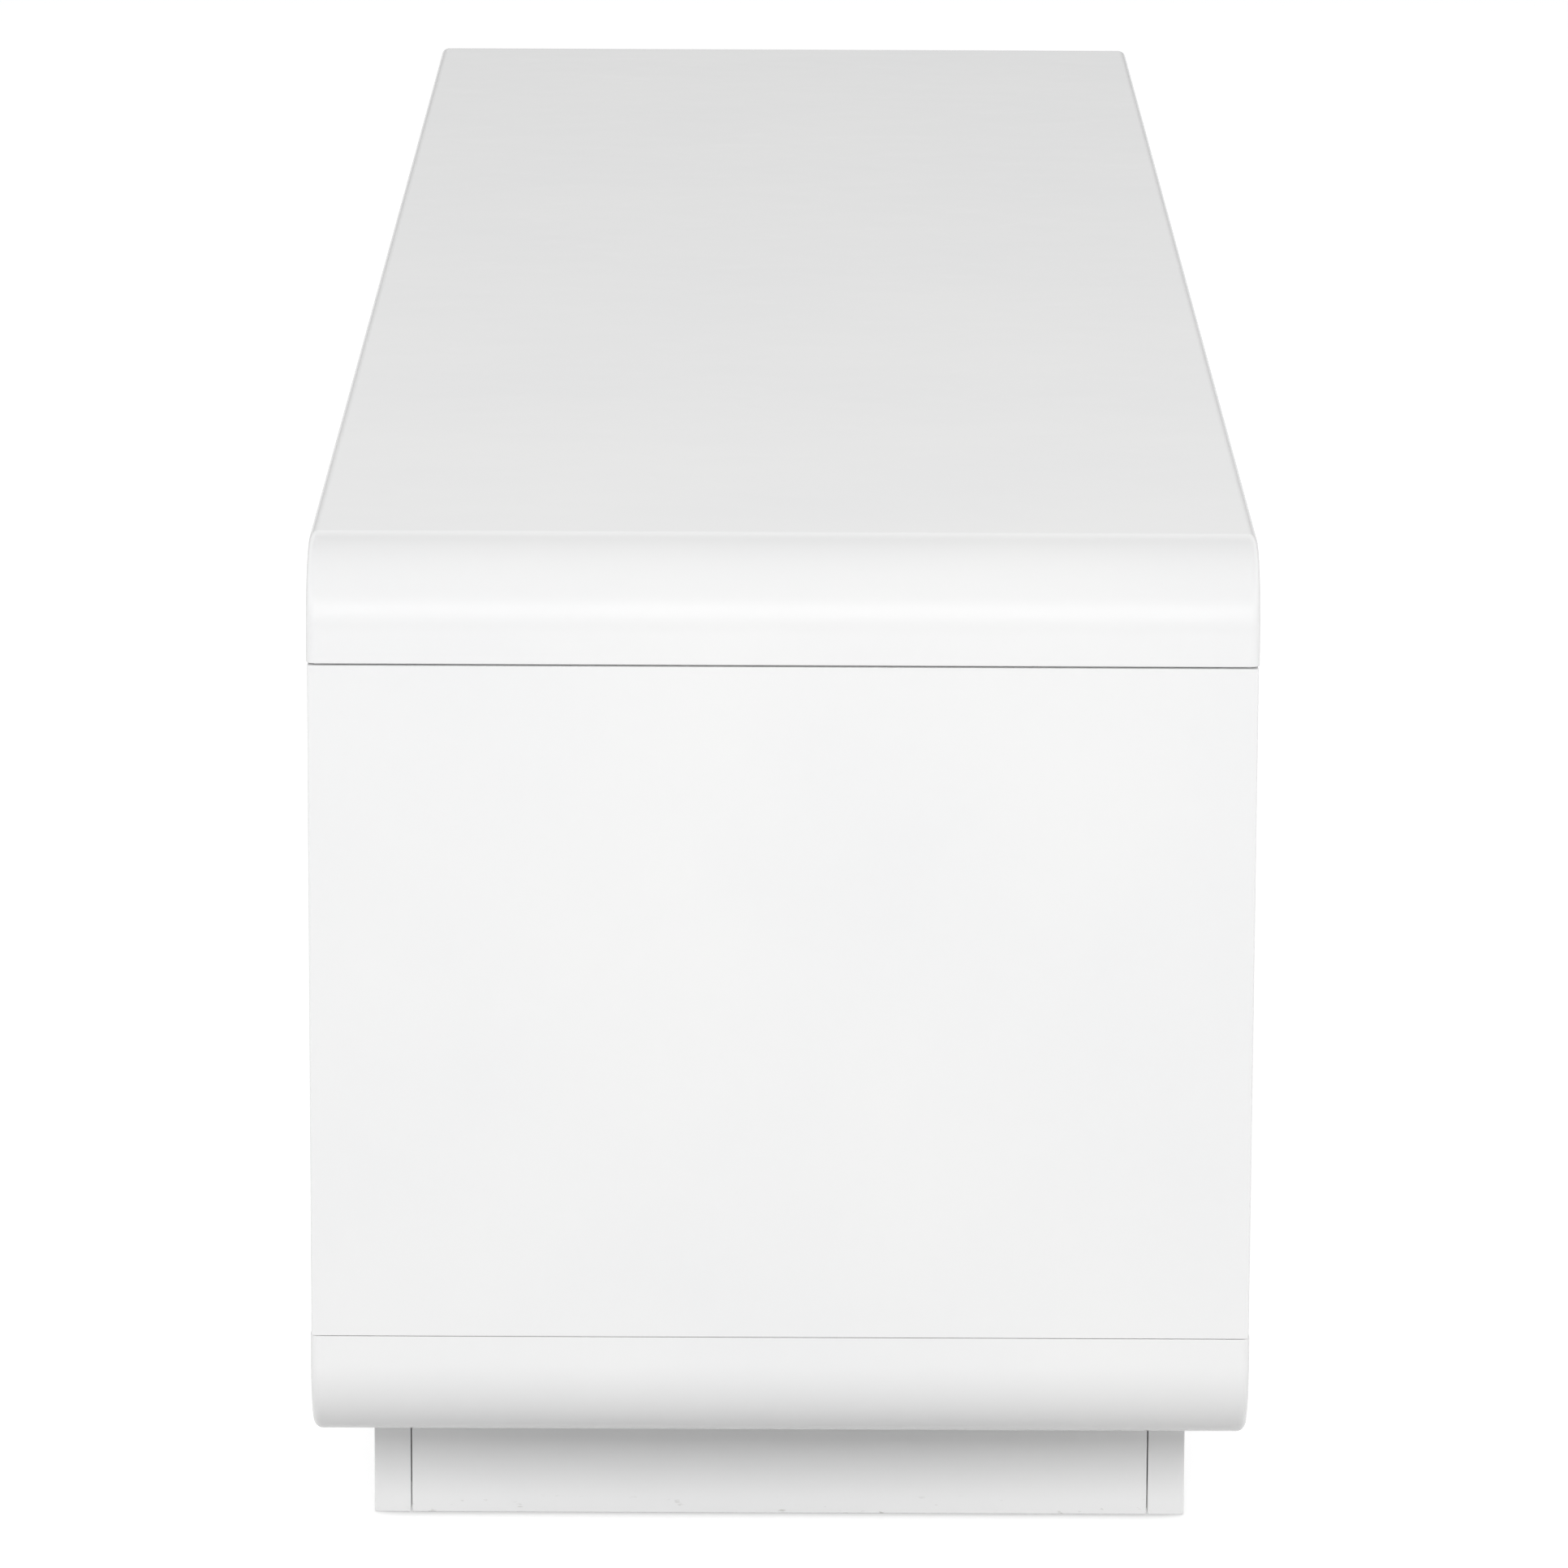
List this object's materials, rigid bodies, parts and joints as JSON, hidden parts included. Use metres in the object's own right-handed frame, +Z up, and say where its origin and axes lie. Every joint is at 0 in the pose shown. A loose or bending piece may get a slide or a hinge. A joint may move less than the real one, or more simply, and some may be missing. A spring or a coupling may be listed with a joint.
{
  "type": "tv stand with doors",
  "caption": "Low gloss-white television stand with rounded slab ends, an open middle bay between hinged inset doors, and a set-back plinth.",
  "frame": {"origin": "on the floor under the middle of the stand", "axes": "+X along the length, +Y towards the back so the doors face -Y, +Z up"},
  "size_m": [1.6, 0.4, 0.452],
  "materials": {
    "gloss_lacquer": "white high-gloss lacquer on MDF",
    "matt_melamine": "white satin melamine on chipboard",
    "back_board": "white satin hardboard",
    "beech": "bare planed beech",
    "bright_steel": "nickel-plated steel",
    "zinc": "zinc-plated, satin",
    "magnet_nickel": "nickel-plated magnet",
    "white_plastic": "moulded white plastic"
  },
  "bodies": {
    "cabinet": {"top_slab": "gloss_lacquer", "bottom_slab": "gloss_lacquer", "left_end_panel": "gloss_lacquer", "right_end_panel": "gloss_lacquer", "left_divider": "matt_melamine", "right_divider": "matt_melamine", "back_panel": "back_board", "left_cable_grommet": "white_plastic", "middle_cable_grommet": "white_plastic", "right_cable_grommet": "white_plastic", "left_shelf": "matt_melamine", "middle_shelf": "matt_melamine", "right_shelf": "matt_melamine", "left_shelf_pins": "zinc", "middle_shelf_pins": "zinc", "right_shelf_pins": "zinc", "cam_locks": "zinc", "cam_bolts": "bright_steel", "dowels": "beech", "plinth_front_board": "gloss_lacquer", "plinth_back_board": "gloss_lacquer", "plinth_left_board": "gloss_lacquer", "plinth_right_board": "gloss_lacquer", "plinth_left_cross_board": "matt_melamine", "plinth_right_cross_board": "matt_melamine", "plinth_corner_blocks": "beech", "plinth_screws": "zinc", "plinth_glides": "white_plastic", "left_hinge_arms": "bright_steel", "left_hinge_plates": "bright_steel", "left_plate_screws": "zinc", "left_adjuster_screws": "zinc", "left_latch_body": "white_plastic", "left_latch_spring": "bright_steel", "left_latch_screws": "zinc", "right_hinge_arms": "bright_steel", "right_hinge_plates": "bright_steel", "right_plate_screws": "zinc", "right_adjuster_screws": "zinc", "right_latch_body": "white_plastic", "right_latch_spring": "bright_steel", "right_latch_screws": "zinc"},
    "left_door_leaf": {"left_door": "gloss_lacquer", "left_hinge_cups": "bright_steel", "left_hinge_pins": "zinc", "left_cup_screws": "zinc", "left_strike_plate": "zinc"},
    "left_latch_slider": {"left_latch_plunger": "white_plastic", "left_latch_magnet": "magnet_nickel"},
    "right_door_leaf": {"right_door": "gloss_lacquer", "right_hinge_cups": "bright_steel", "right_hinge_pins": "zinc", "right_cup_screws": "zinc", "right_strike_plate": "zinc"},
    "right_latch_slider": {"right_latch_plunger": "white_plastic", "right_latch_magnet": "magnet_nickel"}
  },
  "joints": [
    {"name": "left_door_hinge", "type": "hinge", "parent": "cabinet", "child": "left_door_leaf", "pos_m": [-0.727, -0.189, 0.256], "axis": [0, 0, -1], "range_deg": [0, 95]},
    {"name": "left_latch_push", "type": "slide", "parent": "cabinet", "child": "left_latch_slider", "axis": [0, 1, 0], "range_m": [0, 0.004], "stiffness_N_per_m": 200, "deforming": ["left_latch_spring"]},
    {"name": "right_door_hinge", "type": "hinge", "parent": "cabinet", "child": "right_door_leaf", "pos_m": [0.727, -0.189, 0.256], "axis": [0, 0, 1], "range_deg": [0, 95]},
    {"name": "right_latch_push", "type": "slide", "parent": "cabinet", "child": "right_latch_slider", "axis": [0, 1, 0], "range_m": [0, 0.004], "stiffness_N_per_m": 200, "deforming": ["right_latch_spring"]}
  ]
}
